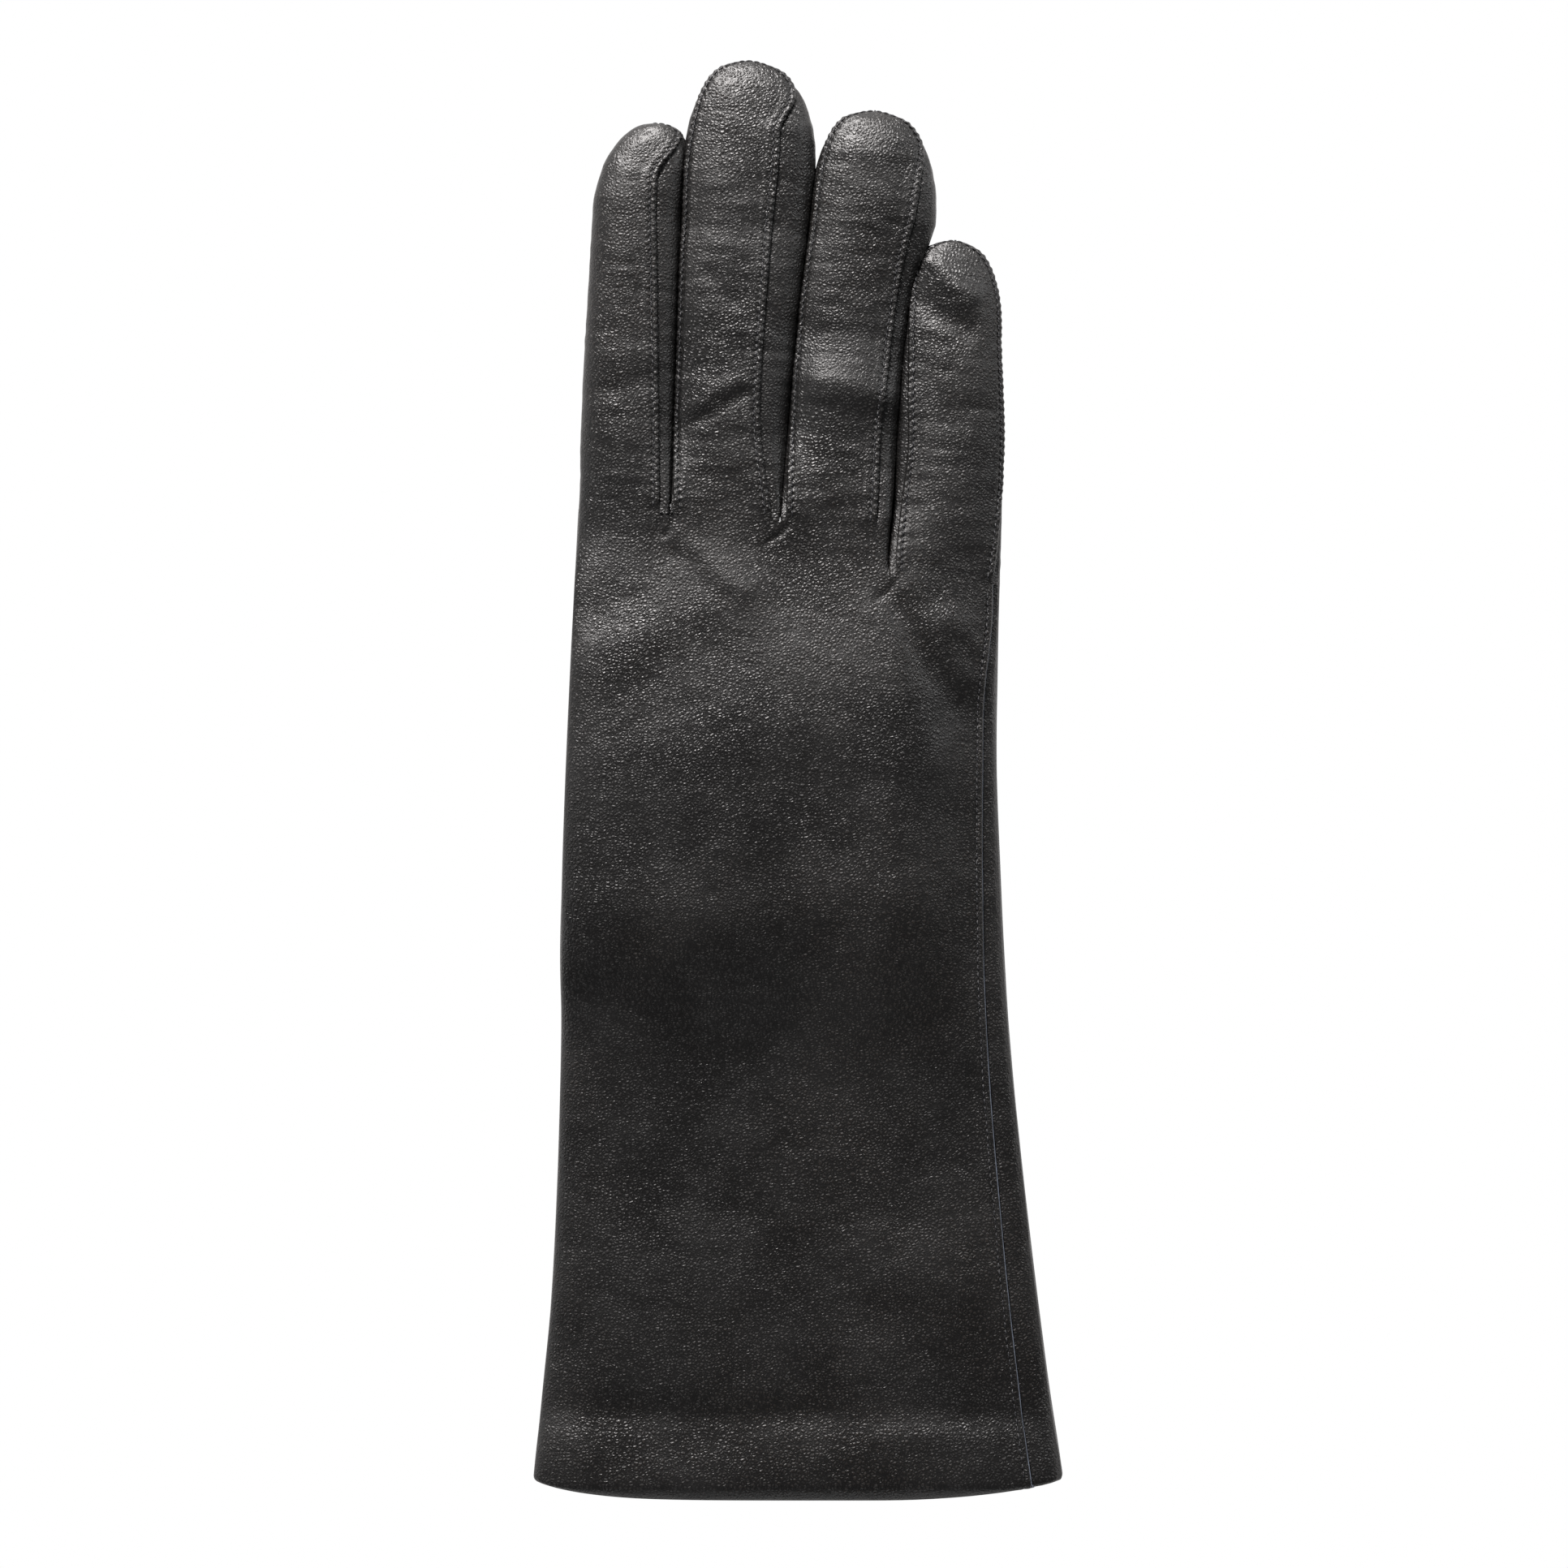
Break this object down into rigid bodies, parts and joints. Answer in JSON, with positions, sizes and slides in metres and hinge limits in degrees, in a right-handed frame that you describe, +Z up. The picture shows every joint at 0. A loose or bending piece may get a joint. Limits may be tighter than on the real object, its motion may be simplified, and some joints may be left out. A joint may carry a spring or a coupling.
{
  "type": "long leather dress glove",
  "caption": "Long lined leather dress glove for the right hand, lying palm down, with an open cuff, four fingers that fold at root and middle, and a thumb tucked under the palm.",
  "frame": {"origin": "centre of the bounding box, on the plane that the glove lies on", "axes": "+Z up out of the back of the hand, +Y from the cuff's hem to the fingertips, +X from the index finger to the little finger"},
  "size_m": [0.107, 0.2898, 0.0161],
  "materials": {
    "leather": "fine-grained black nappa, half gloss",
    "lining": "black fine knit",
    "thread": "black sewing thread"
  },
  "bodies": {
    "cuff": {"cuff_back": "leather", "cuff_lining": "lining", "cuff_palm": "leather", "hem_facing": "leather", "hem_thread": "thread", "outseam_thread_cuff": "thread"},
    "hand": {"hand_back": "leather", "hand_lining": "lining", "hand_palm": "leather", "outseam_thread_hand": "thread", "thumb_pocket": "leather", "thumb_seam_thread": "thread"},
    "thumb": {"thumb_lining": "lining", "thumb_lower_half": "leather", "thumb_upper_half": "leather"},
    "index_base": {"index_back_lower": "leather", "index_fourchette_right_lower": "leather", "index_lining_lower": "lining", "index_palm_lower": "leather"},
    "index_tip": {"index_back_upper": "leather", "index_fourchette_right_upper": "leather", "index_lining_upper": "lining", "index_palm_upper": "leather"},
    "middle_base": {"middle_back_lower": "leather", "middle_fourchette_left_lower": "leather", "middle_fourchette_right_lower": "leather", "middle_lining_lower": "lining", "middle_palm_lower": "leather"},
    "middle_tip": {"middle_back_upper": "leather", "middle_fourchette_left_upper": "leather", "middle_fourchette_right_upper": "leather", "middle_lining_upper": "lining", "middle_palm_upper": "leather"},
    "ring_base": {"ring_back_lower": "leather", "ring_fourchette_left_lower": "leather", "ring_fourchette_right_lower": "leather", "ring_lining_lower": "lining", "ring_palm_lower": "leather"},
    "ring_tip": {"ring_back_upper": "leather", "ring_fourchette_left_upper": "leather", "ring_fourchette_right_upper": "leather", "ring_lining_upper": "lining", "ring_palm_upper": "leather"},
    "little_base": {"little_back_lower": "leather", "little_fourchette_left_lower": "leather", "little_lining_lower": "lining", "little_palm_lower": "leather"},
    "little_tip": {"little_back_upper": "leather", "little_fourchette_left_upper": "leather", "little_lining_upper": "lining", "little_palm_upper": "leather"}
  },
  "joints": [
    {"name": "wrist_bend", "type": "hinge", "parent": "cuff", "child": "hand", "pos_m": [0, -0.05, 0], "axis": [-1, 0, 0], "range_deg": [-45, 60]},
    {"name": "thumb_swing", "type": "hinge", "parent": "hand", "child": "thumb", "pos_m": [-0.022, -0.02, 0], "axis": [0, 0, 1], "range_deg": [0, 65]},
    {"name": "index_root_bend", "type": "hinge", "parent": "hand", "child": "index_base", "pos_m": [-0.03492, 0.05398, 0], "axis": [-0.9976, 0.0698, 0], "range_deg": [-20, 85]},
    {"name": "index_middle_bend", "type": "hinge", "parent": "index_base", "child": "index_tip", "pos_m": [-0.03262, 0.0869, 0], "axis": [-0.9976, 0.0698, 0], "range_deg": [0, 95]},
    {"name": "middle_root_bend", "type": "hinge", "parent": "hand", "child": "middle_base", "pos_m": [-0.01487, 0.05257, 0], "axis": [-0.9976, 0.0698, 0], "range_deg": [-20, 85]},
    {"name": "middle_middle_bend", "type": "hinge", "parent": "middle_base", "child": "middle_tip", "pos_m": [-0.01257, 0.08549, 0], "axis": [-0.9976, 0.0698, 0], "range_deg": [0, 95]},
    {"name": "ring_root_bend", "type": "hinge", "parent": "hand", "child": "ring_base", "pos_m": [0.00747, 0.05101, 0], "axis": [-0.9976, 0.0698, 0], "range_deg": [-20, 85]},
    {"name": "ring_middle_bend", "type": "hinge", "parent": "ring_base", "child": "ring_tip", "pos_m": [0.00977, 0.08393, 0], "axis": [-0.9976, 0.0698, 0], "range_deg": [0, 95]},
    {"name": "little_root_bend", "type": "hinge", "parent": "hand", "child": "little_base", "pos_m": [0.02935, 0.03986, 0], "axis": [-0.9976, 0.0698, 0], "range_deg": [-20, 85]},
    {"name": "little_middle_bend", "type": "hinge", "parent": "little_base", "child": "little_tip", "pos_m": [0.03088, 0.06181, 0], "axis": [-0.9976, 0.0698, 0], "range_deg": [0, 95]}
  ]
}
